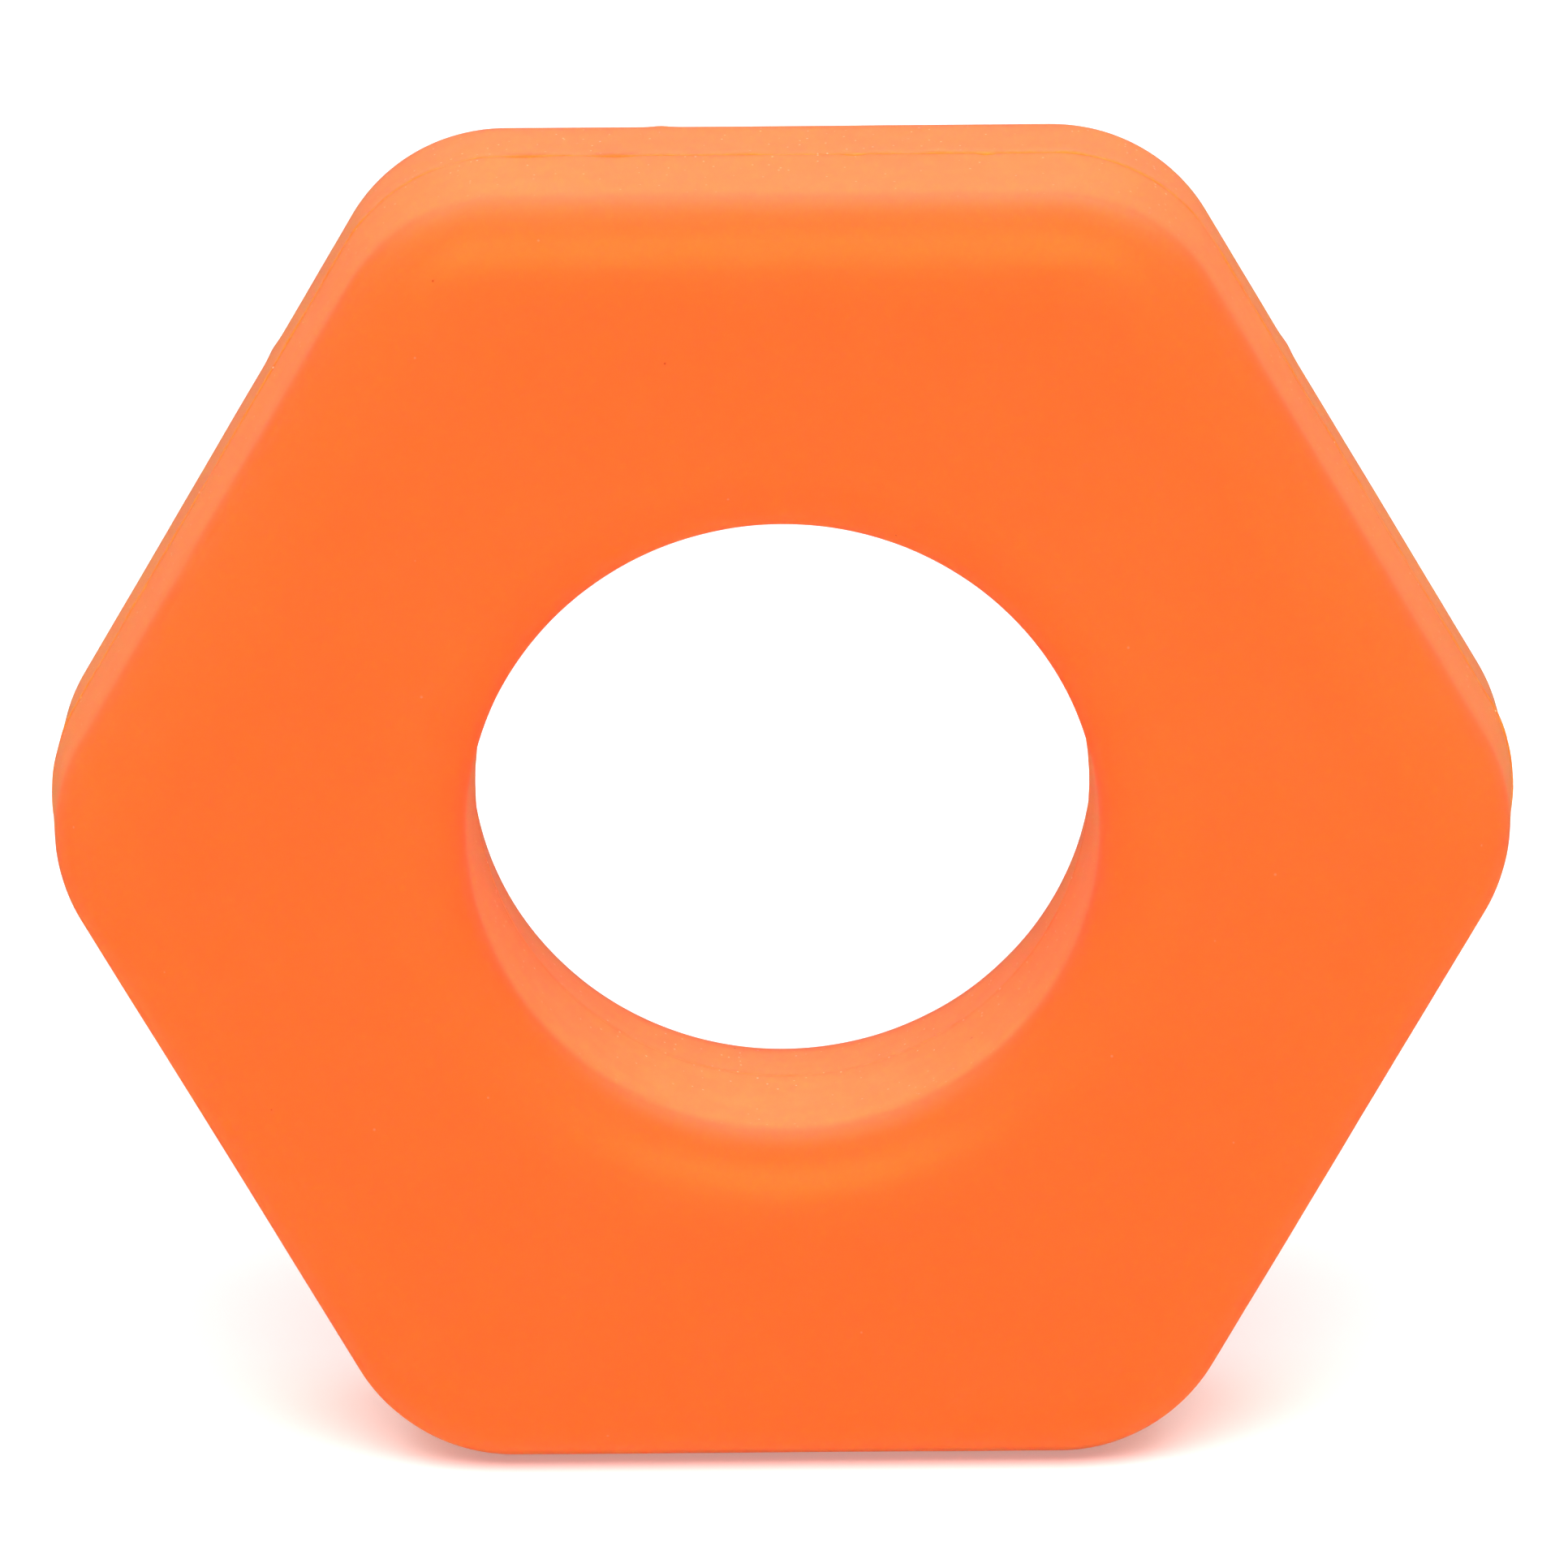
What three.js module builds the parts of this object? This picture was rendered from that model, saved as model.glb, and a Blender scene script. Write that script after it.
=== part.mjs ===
// A soft hexagonal silicone ring: one moulded body with a round hole through its middle.
//
// The origin is in the middle of the hole, half-way through the thickness. The hole axis lies
// along Y and the front face looks towards -Y. +X runs across two opposite rounded corners and
// +Z runs up across the flats, so the ring stands on one of its six flats.
// All lengths are in millimetres.

import * as THREE from "three";

// Driving dimensions.
const ACROSS_FLATS = 45;
const ACROSS_CORNERS = 50; // over the rounded corners
const THICKNESS = 14.5;
const HOLE_DIAMETER = 21;
const EDGE_RADIUS = 3; // rounding of the four long edges: both outer rims and both hole rims

// How finely the round stretches are cut.
const ARC_DIVISIONS = 5; // three.js gives an arc twice this many segments
const EDGE_SEGMENTS = 6; // segments across a rounded edge

const SILICONE = { color: 0xff7534, roughness: 0.45, metalness: 0 };

const SIDES = 6;
const SECTOR = (2 * Math.PI) / SIDES;

// The corner radius that gives both the width across flats and the width across corners:
// rounding a sharp corner with radius r pulls it in by r / cos(SECTOR / 2) - r.
const APOTHEM = ACROSS_FLATS / 2;
const SECANT = 1 / Math.cos(SECTOR / 2);
const CORNER_RADIUS = (APOTHEM * SECANT - ACROSS_CORNERS / 2) / (SECANT - 1);
const CORNER_CENTRE = (APOTHEM - CORNER_RADIUS) * SECANT; // from the hole axis

// The outline, seen along the hole axis: six equal arcs, one at each corner, and the straight
// flats that three.js draws between one arc's end and the next one's start.
function hexagonOutline() {
  const outline = new THREE.Shape();
  for (let corner = 0; corner < SIDES; corner += 1) {
    const angle = corner * SECTOR;
    const x = CORNER_CENTRE * Math.cos(angle);
    const y = CORNER_CENTRE * Math.sin(angle);
    outline.absarc(x, y, CORNER_RADIUS, angle - SECTOR / 2, angle + SECTOR / 2);
  }
  outline.closePath();
  return outline;
}

// The hole, as one arc for each side of the hexagon, so that it is cut as finely as a corner.
function roundHole() {
  const hole = new THREE.Path();
  for (let sector = 0; sector < SIDES; sector += 1) {
    hole.absarc(0, 0, HOLE_DIAMETER / 2, sector * SECTOR, (sector + 1) * SECTOR);
  }
  return hole;
}

// The ring's body: the outline less the hole, extruded along the hole axis. The bevel rounds
// the rims inwards, so that the flats and the hole wall keep their full size in between.
function ringGeometry() {
  const outline = hexagonOutline();
  outline.holes.push(roundHole());
  const flatDepth = THICKNESS - 2 * EDGE_RADIUS;
  const body = new THREE.ExtrudeGeometry(outline, {
    depth: flatDepth,
    curveSegments: ARC_DIVISIONS,
    bevelEnabled: true,
    bevelThickness: EDGE_RADIUS,
    bevelSize: EDGE_RADIUS,
    bevelOffset: -EDGE_RADIUS,
    bevelSegments: EDGE_SEGMENTS,
  });
  body.translate(0, 0, -flatDepth / 2);
  return body;
}

const hexRing = new THREE.Mesh(ringGeometry(), new THREE.MeshStandardMaterial(SILICONE));
hexRing.name = "hex_ring";
hexRing.rotation.x = Math.PI / 2; // stands the ring up, with its hole axis along Y

const ring = new THREE.Group();
ring.add(hexRing);

export default ring;
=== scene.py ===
"""The looks of a soft hexagonal silicone ring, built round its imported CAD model.

The ring is one translucent moulding. Its mesh is a profile swept round the hole: both walls slope
away from the mould's parting lines, the four rims are rounded, and a thin uneven ledge of flash
runs along each parting line. Lengths are in metres.
"""

import math

import bpy
import numpy as np
from mathutils import Matrix, Vector, noise


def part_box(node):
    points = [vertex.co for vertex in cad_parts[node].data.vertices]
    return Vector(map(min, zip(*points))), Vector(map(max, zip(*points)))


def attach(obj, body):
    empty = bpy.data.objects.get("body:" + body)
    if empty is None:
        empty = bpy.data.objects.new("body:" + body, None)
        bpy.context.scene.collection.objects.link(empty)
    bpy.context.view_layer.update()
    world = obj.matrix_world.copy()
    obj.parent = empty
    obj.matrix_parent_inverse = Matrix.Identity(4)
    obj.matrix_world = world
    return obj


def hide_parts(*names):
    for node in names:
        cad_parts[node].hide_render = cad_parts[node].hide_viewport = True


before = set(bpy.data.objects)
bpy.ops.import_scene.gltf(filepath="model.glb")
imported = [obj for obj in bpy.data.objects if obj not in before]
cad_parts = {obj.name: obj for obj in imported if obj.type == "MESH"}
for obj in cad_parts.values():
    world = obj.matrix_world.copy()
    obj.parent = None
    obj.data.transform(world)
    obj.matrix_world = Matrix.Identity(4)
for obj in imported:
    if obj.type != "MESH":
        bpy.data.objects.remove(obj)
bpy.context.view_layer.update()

MM = 0.001

# The ring, as the CAD model has it.
RING_LOW, RING_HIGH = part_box("hex_ring")
ACROSS_CORNERS = RING_HIGH[0] - RING_LOW[0]
THICKNESS = RING_HIGH[1] - RING_LOW[1]
APOTHEM = (RING_HIGH[2] - RING_LOW[2]) / 2
HOLE_RADIUS = 10.53 * MM  # at the parting line, where the hole is narrowest
EDGE_RADIUS = 3.0 * MM  # of the four rounded rims
SIDES = 6
SECTOR = 2 * math.pi / SIDES
SECANT = 1 / math.cos(SECTOR / 2)
CORNER_RADIUS = (APOTHEM * SECANT - ACROSS_CORNERS / 2) / (SECANT - 1)

# What the mould leaves on it.
DRAFT = math.radians(2.6)  # slope of both walls, from the parting line to each face
HOLE_PARTING = 1.0 * MM  # how far behind the middle the mould parts in the hole
# The halves of the mould met with a small step, which left a ledge along each parting line. It
# rises steeply from its foot, rounds over at its crest and dies away slowly behind.
LEDGE_CREST = 0.15 * MM  # how far behind the foot the ledge is highest
LEDGE_BACK = 0.40 * MM  # how far behind the crest it is half as high
LEDGE_HEIGHT = 0.045 * MM
HOLE_LEDGE_HEIGHT = 0.014 * MM
LEDGE_WAVES = (5, 11, 23, 41, 67, 97)  # of its unevenness, each in waves round the ring
LEDGE_UNEVEN = 0.35  # share of its height
# Two longer tags of flash on the upper flat: place right of its middle, length and height.
TAGS = ((-8.6 * MM, 1.8 * MM, 0.03 * MM), (-5.6 * MM, 2.0 * MM, 0.03 * MM))
STRAY_TAGS = 9  # others, scattered round the whole line
STRAY_LENGTHS = (0.4 * MM, 1.6 * MM)
STRAY_HEIGHTS = (0.02 * MM, 0.04 * MM)
TAG_HANG = 6.0  # a tag hangs this many times its height forward of the line
HANG_REACH = 2.0 * MM  # how far from the line it still moves the skin forward
# Tiny lumps on the back rim: the x and z of the three on its upper half, and how many are below.
NIBS = ((-4.0 * MM, 22.3 * MM), (-17.4 * MM, 14.5 * MM), (17.4 * MM, 14.4 * MM))
NIB_DEPTH = 4.8 * MM  # behind the middle of the thickness
NIB_BAND = 0.6 * MM  # how far from that depth a stray one may be
STRAY_NIBS = 7
NIB_SIZE = 0.35 * MM
NIB_HEIGHT = 0.04 * MM
# How far the skin swells and sinks, each with the distance over which it does.
SWELLS = ((0.020 * MM, 9 * MM), (0.006 * MM, 2 * MM))

# The skin. The walls have a drier one than the faces, and painted sheen pales their colour.
WALL_FADE = (3.9 * MM, 4.8 * MM)  # depths from the middle over which it gives way, as a rim begins
HOLE_FADE = (12 * MM, 14 * MM)  # radii over which what is special to the hole's wall gives way
# How much painted sheen pales the colour: on the outer wall, and in the hole.
WALL_SHEEN = 0.16
HOLE_SHEEN = 0.26
WALL_DRYNESS = 0.06  # added to the roughness
# The colour is darker along the parting lines, and painted shade lies in a streak on each of the two
# longer tags.
LINE_DARK_COVER = 0.15
LINE_DARK_FADE = (0.06 * MM, 0.26 * MM)  # distances from the line
# Painted shade on each of the two longer tags: its strength, where it starts and where it gives way.
TAG_SHADE_COVER = 0.42
TAG_SHADE_FRONT = (-0.05 * MM, 0.03 * MM)  # where it starts, behind the front of the tag
TAG_SHADE_FADE = (0.1 * MM, 0.9 * MM)  # where it gives way
# Specks: the spacing of the cells they are drawn in, their radius, the share of cells with one.
WALL_LINT = (0.32 * MM, 0.045 * MM, 0.40)
SPARSE_LINT = (1.8 * MM, 0.06 * MM, 0.60)
SPARSE_LINT_COVER = 0.2
DARK_GRIT = (3.1 * MM, 0.06 * MM, 0.90)
LINT_COVER = 0.77
GRIT_COVER = 0.7
# The walls' lint is at its full strength behind LINT_BACK, and fades to a share at LINT_FRONT.
LINT_BACK = 1.0 * MM
LINT_FRONT = -4.0 * MM
LINT_IN_FRONT = 0.35

# Colours, linear.
ORANGE_DEEP = (0.93, 0.166, 0.040, 1)
ORANGE_LIGHT = (0.94, 0.180, 0.044, 1)
# Painted sheen: the pale colour the walls are mixed towards.
PAINTED_SHEEN = (1.0, 0.48, 0.14, 1)
# Darker colour along the parting lines, and painted shade on the two longer tags.
LINE_DARK_AND_SHADE = (0.60, 0.06, 0.01, 1)
LINT = (0.96, 0.77, 0.60, 1)
GRIT = (0.20, 0.03, 0.01, 1)

# How finely the ring is cut.
STATIONS = 960  # round the ring
FOOT_CUTS = (0.03 * MM, 0.15 * MM)  # in front of a ledge
CREST_CUTS = (0.03, 0.12, 0.33, 0.67, 1.0)  # shares of the way from its foot to its crest
BACK_CUTS = (0.5, 1.0, 1.8)  # behind its crest, in shares of the distance to half its height
WALL_CUTS = 4
EDGE_CUTS = 11
FACE_CUTS = 8

FLOOR_SIZE = 30  # in metres, so that its edge is far away

# The view: the ring seen from a little above its hole axis, through a long lens.
VIEW_ELEVATION = math.radians(16.32)
VIEW_AZIMUTH = math.radians(-0.06)
VIEW_ROLL = math.radians(-0.37)
VIEW_DISTANCE = 812.7 * MM
VIEW_RIGHT = 0.055 * MM  # the aim is this far right of and above the middle of the hole
VIEW_UP = 0.215 * MM
SENSOR_WIDTH = 36  # both in millimetres, as the camera has them
LENS = 544.7

# Both sources of randomness start from a fixed seed, so the ring is the same on every run.
rng = np.random.default_rng(7)
noise.seed_set(7)


# ---------------------------------------------------------------- shape

def outline(count):
    """Evenly spaced points round the rounded hexagon at the parting line, in the X-Z plane, with
    their outward normals and how far round each one is."""
    arc = CORNER_RADIUS * SECTOR
    flat = 2 * (APOTHEM - CORNER_RADIUS) * math.tan(SECTOR / 2)
    corner_centre = (APOTHEM - CORNER_RADIUS) * SECANT
    places = np.arange(count) * SIDES * (arc + flat) / count
    corner = np.floor(places / (arc + flat))
    along = places - corner * (arc + flat)
    facing = (corner - 0.5) * SECTOR + np.minimum(along, arc) / CORNER_RADIUS
    normals = np.stack([np.cos(facing), np.sin(facing)], axis=1)
    tangents = np.stack([-np.sin(facing), np.cos(facing)], axis=1)
    centres = corner_centre * np.stack([np.cos(corner * SECTOR), np.sin(corner * SECTOR)], axis=1)
    straight = np.maximum(along - arc, 0)[:, None]
    points = centres + CORNER_RADIUS * normals + straight * tangents
    return points, normals, places


def wall_section(parting, side):
    """One half of a wall and the rounded edge after it, from next to the parting line out to the
    face: pairs of inset and depth behind the line. side is -1 to the front face, 1 to the back."""
    reach = THICKNESS / 2 - side * parting
    edge_centre = reach - EDGE_RADIUS
    tangent = edge_centre + EDGE_RADIUS * math.sin(DRAFT)
    centre_inset = tangent * math.tan(DRAFT) + EDGE_RADIUS * math.cos(DRAFT)
    crest = LEDGE_CREST * np.array(CREST_CUTS)
    behind = np.append(crest, LEDGE_CREST + LEDGE_BACK * np.array(BACK_CUTS))
    near = behind if side > 0 else np.array(FOOT_CUTS)
    far = np.linspace(near[-1], tangent, WALL_CUTS + 1)[1:]
    depths = np.concatenate([near, far])
    turn = np.linspace(DRAFT, math.pi / 2, EDGE_CUTS + 1)[1:]
    insets = np.concatenate([depths * math.tan(DRAFT), centre_inset - EDGE_RADIUS * np.cos(turn)])
    depths = np.concatenate([depths, edge_centre + EDGE_RADIUS * np.sin(turn)])
    return list(zip(insets, side * depths))


def ledge_profile(depth):
    """The height of a ledge at a depth behind its foot, as a share of its greatest height."""
    if depth <= 0:
        return 0.0
    if depth < LEDGE_CREST:
        return math.sqrt(1 - (1 - depth / LEDGE_CREST) ** 2)
    return 0.5 ** (((depth - LEDGE_CREST) / LEDGE_BACK) ** 2)


def uneven(count, waves):
    """A smooth closed random line of values from about -1 to 1."""
    turn = np.linspace(0, 2 * math.pi, count, endpoint=False)
    total = np.zeros(count)
    for wave in waves:
        total += np.cos(wave * turn + rng.uniform(0, 2 * math.pi)) / math.sqrt(len(waves))
    return total


def ledge(places, height, tags):
    """The ledge at each place round a line: how high it stands and how far it hangs forward."""
    rise = height * (1 + LEDGE_UNEVEN * uneven(len(places), LEDGE_WAVES))
    hang = np.zeros(len(places))
    perimeter = places[1] * len(places)
    for place, length, tall in tags:
        away = (places - place + perimeter / 2) % perimeter - perimeter / 2
        lens = np.maximum(1 - (2 * away / length) ** 2, 0)
        rise += tall * lens
        hang += TAG_HANG * tall * lens
    return np.maximum(rise, 0), hang


def stray_tags(perimeter):
    """Tags of random lengths and heights at random places round the line."""
    return [
        (rng.uniform(0, perimeter), rng.uniform(*STRAY_LENGTHS), rng.uniform(*STRAY_HEIGHTS))
        for _ in range(STRAY_TAGS)
    ]


class Wall:
    """A wall right round the ring: the outer one or the hole's."""

    def __init__(self, line, out, parting, rise, hang):
        """Takes the parting line's points in the X-Z plane, which way is out of the material at
        each, the line's Y, and how high the ledge stands and how far it hangs at each."""
        self.line = line
        self.out = out
        self.parting = parting
        self.rise = rise
        self.hang = hang

    def row(self, inset, depth):
        """A line of points round the wall, depth behind the parting line and inset from it."""
        lift = self.rise * ledge_profile(depth)
        flat = self.line + (lift - inset)[:, None] * self.out
        y = self.parting + depth - self.hang * max(0.0, 1 - abs(depth) / HANG_REACH)
        return np.stack([flat[:, 0], y, flat[:, 1]], axis=1)

    def half(self, side):
        """The rows from next to the parting line out to one face."""
        return [self.row(inset, depth) for inset, depth in wall_section(self.parting, side)]


def ring_mesh():
    """The ring as one closed sheet of quads: stations round the hole by rows round the section."""
    points, normals, places = outline(STATIONS)
    upper_middle = places[np.argmin(np.abs(points[:, 0]) - points[:, 1])]
    # The line runs anticlockwise, so a tag to the left of the middle is further round.
    tags = [(upper_middle - x, length, tall) for x, length, tall in TAGS]
    tags += stray_tags(places[1] * STATIONS)
    outside = Wall(points, normals, 0.0, *ledge(places, LEDGE_HEIGHT, tags))
    rays = points / np.linalg.norm(points, axis=1)[:, None]
    hole_ledge = ledge(places, HOLE_LEDGE_HEIGHT, [])
    hole = Wall(HOLE_RADIUS * rays, -rays, HOLE_PARTING, *hole_ledge)

    def face(outer_rim, hole_rim):
        shares = np.linspace(0, 1, FACE_CUTS + 1)[1:-1]
        return [outer_rim + share * (hole_rim - outer_rim) for share in shares]

    halves = []
    for side in (1, -1):
        outer_rows = outside.half(side)
        hole_rows = hole.half(side)
        halves.append(outer_rows + face(outer_rows[-1], hole_rows[-1]) + hole_rows[::-1])
    rows = [outside.row(0.0, 0.0)] + halves[0] + [hole.row(0.0, 0.0)] + halves[1][::-1]
    grid = np.array(rows)
    return make_grid("silicone_ring", roughen(grid.reshape(-1, 3)).reshape(grid.shape))


def make_grid(name, grid):
    """A closed mesh object from rows of points: each row is a loop, joined to the rows next to it,
    and the last row is joined to the first."""
    deep, wide = grid.shape[:2]
    index = np.arange(deep * wide).reshape(deep, wide)
    right = np.roll(index, -1, axis=1)
    below = np.roll(index, -1, axis=0)
    corner = np.roll(right, -1, axis=0)
    quads = np.stack([index, below, corner, right], axis=-1).reshape(-1, 4)
    mesh = bpy.data.meshes.new(name)
    mesh.from_pydata(grid.reshape(-1, 3).tolist(), [], quads.tolist())
    mesh.polygons.foreach_set("use_smooth", [True] * len(mesh.polygons))
    mesh.update()
    made = bpy.data.objects.new(name, mesh)
    bpy.context.collection.objects.link(made)
    return made


def roughen(points):
    """The points moved by slow random swells and by nibs, as a soft moulding is never perfect."""
    moved = points.copy()
    for depth, reach in SWELLS:
        moved += depth * np.array([noise.noise_vector(Vector(point) / reach) for point in points])
    outward = points * (1, 0, 1)
    radii = np.linalg.norm(outward, axis=1)
    outward /= radii[:, None]
    outer = radii > APOTHEM - EDGE_RADIUS
    back_rim = outer & (np.abs(points[:, 1] - NIB_DEPTH) < NIB_BAND)
    lower_half = np.flatnonzero(back_rim & (points[:, 2] < 0))
    strays = points[rng.choice(lower_half, STRAY_NIBS)]
    centres = [(x, NIB_DEPTH, z) for x, z in NIBS] + list(strays)
    for centre in centres:
        near = np.sum((points - centre) ** 2, axis=1) / NIB_SIZE ** 2
        moved += (NIB_HEIGHT * np.exp(-near))[:, None] * outward
    return moved


# ---------------------------------------------------------------- material

class Nodes:
    """Short names for building a node tree."""

    def __init__(self, tree):
        self.tree = tree

    def put(self, value, socket):
        """Gives a socket its value: a constant or another node's output."""
        if isinstance(value, bpy.types.NodeSocket):
            self.tree.links.new(value, socket)
        else:
            socket.default_value = value

    def add(self, kind, inputs=None, **settings):
        """A new node, with values for its inputs and its settings."""
        node = self.tree.nodes.new(kind)
        for name, value in settings.items():
            setattr(node, name, value)
        for name, value in (inputs or {}).items():
            self.put(value, node.inputs[name])
        return node

    def noise(self, place, size, detail=2.0):
        """A noise whose blobs are about size across, from 0 to 1."""
        inputs = {"Vector": place, "Scale": 1 / size, "Detail": detail}
        return self.add("ShaderNodeTexNoise", inputs).outputs["Fac"]

    def ramp(self, value, low, high, to_low=0.0, to_high=1.0):
        """value stretched from low..high to to_low..to_high, with soft ends."""
        limits = {"From Min": low, "From Max": high, "To Min": to_low, "To Max": to_high}
        node = self.add("ShaderNodeMapRange", {"Value": value, **limits})
        node.interpolation_type = "SMOOTHSTEP"
        return node.outputs["Result"]

    def math(self, operation, first, second):
        """The result of an operation on two values."""
        return self.add("ShaderNodeMath", {0: first, 1: second}, operation=operation).outputs[0]

    def mix(self, share, first, second):
        """A colour between two colours."""
        node = self.add("ShaderNodeMix", data_type="RGBA")
        sockets = {socket.identifier: socket for socket in node.inputs}
        self.put(share, sockets["Factor_Float"])
        self.put(first, sockets["A_Color"])
        self.put(second, sockets["B_Color"])
        return next(socket for socket in node.outputs if socket.identifier == "Result_Color")

    def specks(self, place, spacing, radius, share):
        """1 on tiny spots and 0 elsewhere: one spot in a share of the cells of an uneven grid."""
        inputs = {"Vector": place, "Scale": 1 / spacing}
        cells = self.add("ShaderNodeTexVoronoi", inputs)
        spot = self.ramp(cells.outputs["Distance"], 0.5 * radius / spacing, radius / spacing, 1.0, 0.0)
        lot = self.add("ShaderNodeSeparateColor", {"Color": cells.outputs["Color"]}).outputs["Red"]
        chosen = self.math("LESS_THAN", lot, share)
        return self.math("MULTIPLY", spot, chosen)


def line_dark_and_tag_shade_mask(make, axes, in_hole):
    """Darker along each parting line, and painted shade in a streak on each of the two longer tags."""
    depth = axes["Y"]
    # The parting line is further back in the hole.
    behind_line = make.math("SUBTRACT", depth, make.math("MULTIPLY", in_hole, HOLE_PARTING))
    darkening = make.ramp(make.math("ABSOLUTE", behind_line, 0.0), *LINE_DARK_FADE, LINE_DARK_COVER, 0.0)
    on_top = make.ramp(axes["Z"], APOTHEM - 2 * MM, APOTHEM - 1 * MM)
    for x, length, tall in TAGS:
        away = make.math("DIVIDE", make.math("SUBTRACT", axes["X"], x), length / 2)
        lens = make.math("SUBTRACT", 1.0, make.math("MULTIPLY", away, away))
        lens = make.math("MULTIPLY", make.math("MAXIMUM", lens, 0.0), on_top)
        # The painted shade has a sharp edge along the tag's front and fades out behind it.
        behind_front = make.math("ADD", depth, make.math("MULTIPLY", lens, TAG_HANG * tall))
        tag_shade = make.math("MULTIPLY", make.ramp(behind_front, *TAG_SHADE_FRONT), lens)
        fade = make.ramp(behind_front, *TAG_SHADE_FADE, TAG_SHADE_COVER, 0.0)
        darkening = make.math("MAXIMUM", darkening, make.math("MULTIPLY", tag_shade, fade))
    return darkening


def lint_mask(make, place, depth, wall):
    """Pale lint: fine and dense on the walls, strongest behind the parting line, and sparse faint
    specks everywhere."""
    behind = make.ramp(depth, LINT_FRONT, LINT_BACK, LINT_IN_FRONT, 1.0)
    on_wall = make.math("MULTIPLY", behind, wall)
    wall_lint = make.math("MULTIPLY", make.specks(place, *WALL_LINT), on_wall)
    sparse_lint = make.math("MULTIPLY", make.specks(place, *SPARSE_LINT), SPARSE_LINT_COVER)
    return make.math("MAXIMUM", wall_lint, sparse_lint)


def silicone():
    """Translucent orange silicone with a satin skin, painted sheen on its walls and painted shade on
    its two longer tags, a little soiled by handling.
    """
    material = bpy.data.materials.new("silicone")
    material.use_nodes = True
    shader = material.node_tree.nodes["Principled BSDF"]
    make = Nodes(material.node_tree)
    place = make.add("ShaderNodeTexCoord").outputs["Object"]
    axes = make.add("ShaderNodeSeparateXYZ", {"Vector": place}).outputs
    depth = axes["Y"]
    flat_place = make.add("ShaderNodeVectorMath", {0: place, 1: (1, 0, 1)}, operation="MULTIPLY")
    radius = make.add("ShaderNodeVectorMath", {0: flat_place.outputs[0]}, operation="LENGTH")
    in_hole = make.ramp(radius.outputs["Value"], *HOLE_FADE, 1.0, 0.0)
    wall = make.ramp(make.math("ABSOLUTE", depth, 0.0), *WALL_FADE, 1.0, 0.0)
    # The painted sheen lies on the walls, a little patchy; the same mask makes their skin drier.
    mottle = make.ramp(make.noise(place, 0.9 * MM, detail=3.0), 0.3, 0.7, 0.85, 1.15)
    sheen_and_dryness = make.math("MULTIPLY", wall, mottle)
    lint = lint_mask(make, place, depth, wall)
    grit = make.specks(place, *DARK_GRIT)

    # Colour: the pigment is stirred in a little unevenly; on it lie painted sheen on the walls,
    # darkening along the parting lines with painted shade on the two longer tags, lint and grit.
    cloud = make.noise(place, 14 * MM, detail=3.0)
    stirred = make.mix(cloud, ORANGE_DEEP, ORANGE_LIGHT)
    # Painted sheen: the walls' colour is paled towards pale yellow, more in the hole.
    sheen_strength = make.ramp(in_hole, 0.0, 1.0, WALL_SHEEN, HOLE_SHEEN)
    sheened = make.mix(make.math("MULTIPLY", sheen_and_dryness, sheen_strength), stirred, PAINTED_SHEEN)
    # Darker along the parting lines, with painted shade in streaks on the two longer tags.
    darkened = make.mix(line_dark_and_tag_shade_mask(make, axes, in_hole), sheened, LINE_DARK_AND_SHADE)
    dusted = make.mix(make.math("MULTIPLY", lint, LINT_COVER), darkened, LINT)
    colour = make.mix(make.math("MULTIPLY", grit, GRIT_COVER), dusted, GRIT)

    # Gloss: satin, a little patchy where it has been handled, drier on the walls, dull on the lint.
    patches = make.ramp(make.noise(place, 6 * MM, detail=3.0), 0.3, 0.7, 0.32, 0.40)
    drier = make.math("ADD", patches, make.math("MULTIPLY", sheen_and_dryness, WALL_DRYNESS))
    gloss = make.math("MAXIMUM", drier, make.math("MULTIPLY", lint, 0.8))

    # Relief: the fine grain of a bead-blasted mould, and lint standing on it.
    grain = make.noise(place, 0.16 * MM, detail=2.0)
    skin = make.add("ShaderNodeBump", {"Strength": 1.0, "Distance": 0.0016 * MM, "Height": grain})
    standing = {"Strength": 1.0, "Distance": 0.02 * MM, "Height": lint, "Normal": skin.outputs[0]}
    relief = make.add("ShaderNodeBump", standing).outputs[0]

    make.put(colour, shader.inputs["Base Color"])
    make.put(gloss, shader.inputs["Roughness"])
    make.put(relief, shader.inputs["Normal"])
    shader.inputs["IOR"].default_value = 1.41
    shader.inputs["Specular Tint"].default_value = (1.0, 0.40, 0.05, 1)
    shader.inputs["Subsurface Weight"].default_value = 1.0
    shader.inputs["Subsurface Radius"].default_value = (8.0, 2.0, 0.5)
    shader.inputs["Subsurface Scale"].default_value = MM
    shader.inputs["Subsurface Anisotropy"].default_value = 0.6
    return material


# ---------------------------------------------------------------- stage

def make_stage():
    """A plain pale floor under the ring. It glows faintly, which keeps the ring's shadow pale."""
    bpy.ops.mesh.primitive_plane_add(size=FLOOR_SIZE, location=(0, 0, RING_LOW[2]))
    floor = bpy.context.object
    floor.name = "floor"
    material = bpy.data.materials.new("floor")
    material.use_nodes = True
    shader = material.node_tree.nodes["Principled BSDF"]
    shader.inputs["Base Color"].default_value = (0.9, 0.9, 0.9, 1)
    shader.inputs["Roughness"].default_value = 0.9
    shader.inputs["Emission Color"].default_value = (1, 1, 1, 1)
    shader.inputs["Emission Strength"].default_value = 0.25
    floor.data.materials.append(material)
    floor.visible_glossy = False  # so that the lower edges don't mirror it


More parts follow.
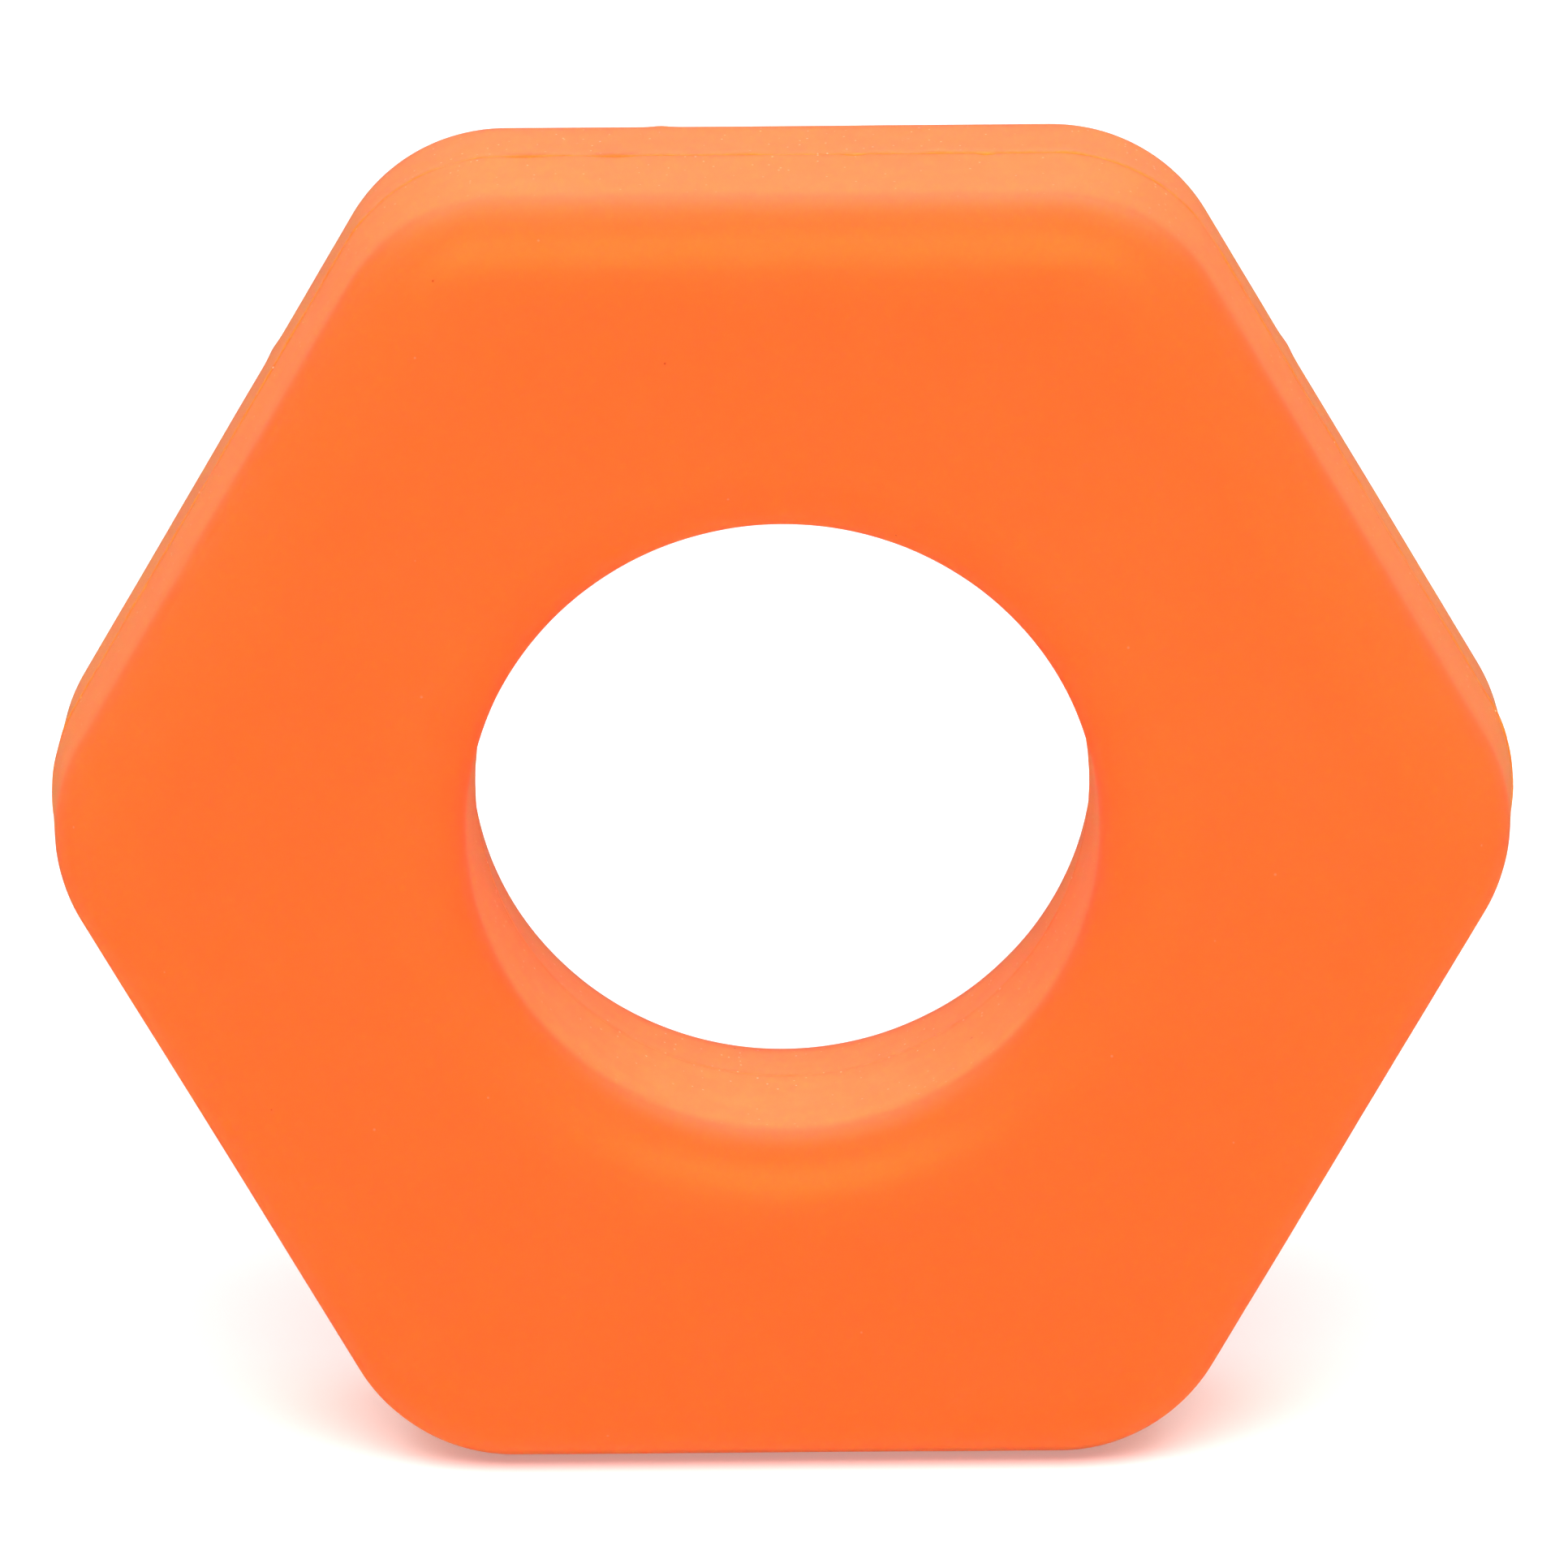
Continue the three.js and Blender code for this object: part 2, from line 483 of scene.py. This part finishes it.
def softbox(name, place, size, radiance):
    """A white area light that faces the ring. radiance 1 looks just white."""
    data = bpy.data.lights.new(name, "AREA")
    data.shape = "RECTANGLE"
    data.size, data.size_y = size
    data.energy = radiance * math.pi * size[0] * size[1]
    lamp = bpy.data.objects.new(name, data)
    bpy.context.collection.objects.link(lamp)
    lamp.location = place
    lamp.rotation_euler = (-Vector(place)).to_track_quat("-Z", "Y").to_euler()
    lamp.visible_camera = False


def make_light():
    """Soft studio light: one large softbox high in front, two fainter ones behind, a surround."""
    softbox("key", (0, -0.42, 0.57), (0.8, 0.5), 5.2)
    softbox("high_back", (0, 0.45, 0.55), (0.8, 0.4), 0.75)
    softbox("low_back", (0, 0.9, 0.30), (1.2, 0.6), 0.2)
    make_surround()
    bpy.context.scene.view_settings.view_transform = "Standard"


def make_surround():
    """A pale surround, bright overhead, dim along the horizon and darker at the left and right."""
    world = bpy.data.worlds.new("surround")
    bpy.context.scene.world = world
    world.use_nodes = True
    make = Nodes(world.node_tree)
    direction = make.add("ShaderNodeTexCoord").outputs["Generated"]
    axes = make.add("ShaderNodeSeparateXYZ", {"Vector": direction}).outputs
    height = axes["Z"]
    below = make.ramp(height, -0.45, -0.12, 0.1, 0.25)
    low = make.math("MULTIPLY", below, make.ramp(height, 0.0, 0.25, 1.0, 0.0))
    high = make.ramp(height, 0.2, 0.6, 0.0, 0.78)
    flags = make.ramp(make.math("ABSOLUTE", axes["X"], 0.0), 0.4, 1.0, 1.0, 0.3)
    glow = make.math("MULTIPLY", make.math("ADD", low, high), flags)
    # Where the camera sees the surround itself, it is about as pale as the far floor.
    seen = make.add("ShaderNodeLightPath").outputs["Is Camera Ray"]
    strength = make.math("MAXIMUM", glow, make.math("MULTIPLY", seen, 0.85))
    background = world.node_tree.nodes["Background"]
    background.inputs["Color"].default_value = (1, 1, 1, 1)
    make.put(strength, background.inputs["Strength"])


def make_camera():
    """The camera, at the view's angle, with its aim a hair off the middle of the hole."""
    elevation, azimuth = VIEW_ELEVATION, VIEW_AZIMUTH
    back = Vector((
        math.sin(azimuth) * math.cos(elevation),
        -math.cos(azimuth) * math.cos(elevation),
        math.sin(elevation),
    ))
    level_right = Vector((0, 0, 1)).cross(back).normalized()
    level_up = back.cross(level_right)
    right = math.cos(VIEW_ROLL) * level_right + math.sin(VIEW_ROLL) * level_up
    up = back.cross(right)
    data = bpy.data.cameras.new("camera")
    data.sensor_width = SENSOR_WIDTH
    data.lens = LENS
    data.clip_start = 0.01
    data.clip_end = 100
    camera = bpy.data.objects.new("camera", data)
    bpy.context.collection.objects.link(camera)
    place = back * VIEW_DISTANCE + right * VIEW_RIGHT + up * VIEW_UP
    axes = Matrix((right, up, back)).transposed().to_4x4()
    camera.matrix_world = Matrix.Translation(place) @ axes
    bpy.context.scene.camera = camera


make_camera()
ring = ring_mesh()
ring.data.materials.append(silicone())
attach(ring, "root")
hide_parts("hex_ring")
make_stage()
make_light()
